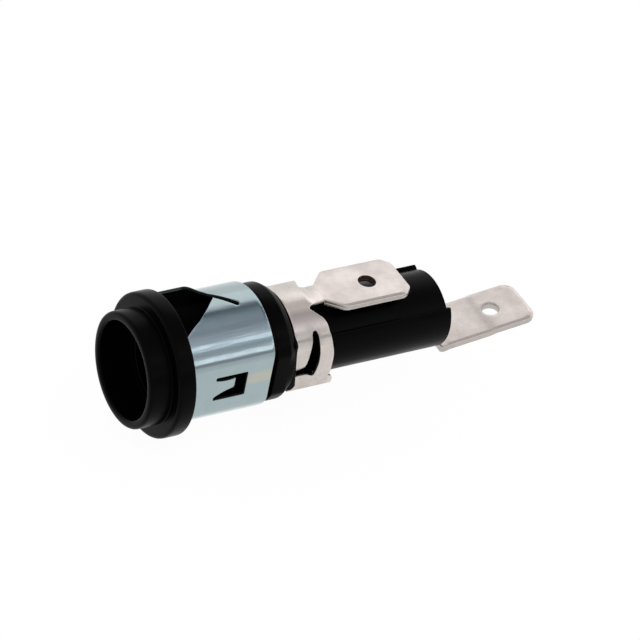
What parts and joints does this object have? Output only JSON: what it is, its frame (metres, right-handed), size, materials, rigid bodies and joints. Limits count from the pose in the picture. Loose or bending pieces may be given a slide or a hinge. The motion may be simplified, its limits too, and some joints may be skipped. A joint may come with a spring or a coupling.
{
  "type": "cartridge fuse holder",
  "caption": "Black snap-in panel fuse holder with a round flange, spring steel clip sleeve, side and rear blade terminals and a sprung rear contact.",
  "frame": {"origin": "on the holder's axis, in the plane of the flange's rear face, which rests on the panel", "axes": "+X runs along the axis from the open mouth to the rear terminal, +Z is the outward normal of the side terminal's blade, +Y completes the frame"},
  "size_m": [0.0511, 0.016, 0.016],
  "materials": {
    "moulding": "satin black thermoplastic",
    "zinc": "bright blue-passivated zinc plating on spring steel",
    "tin": "matt tin plating on brass",
    "brass": "plain brass",
    "spring_steel": "plain spring steel wire"
  },
  "bodies": {
    "housing": {"holder_body": "moulding", "mounting_clip": "zinc", "side_terminal": "tin", "rear_terminal": "tin", "terminal_rivet": "brass", "contact_spring": "spring_steel"},
    "contact": {"contact_cup": "brass"}
  },
  "joints": [
    {"name": "contact_slide", "type": "slide", "parent": "housing", "child": "contact", "axis": [1, 0, 0], "range_m": [0, 0.0025], "stiffness_N_per_m": 600, "springref_m": -0.0015, "deforming": ["contact_spring"]}
  ]
}
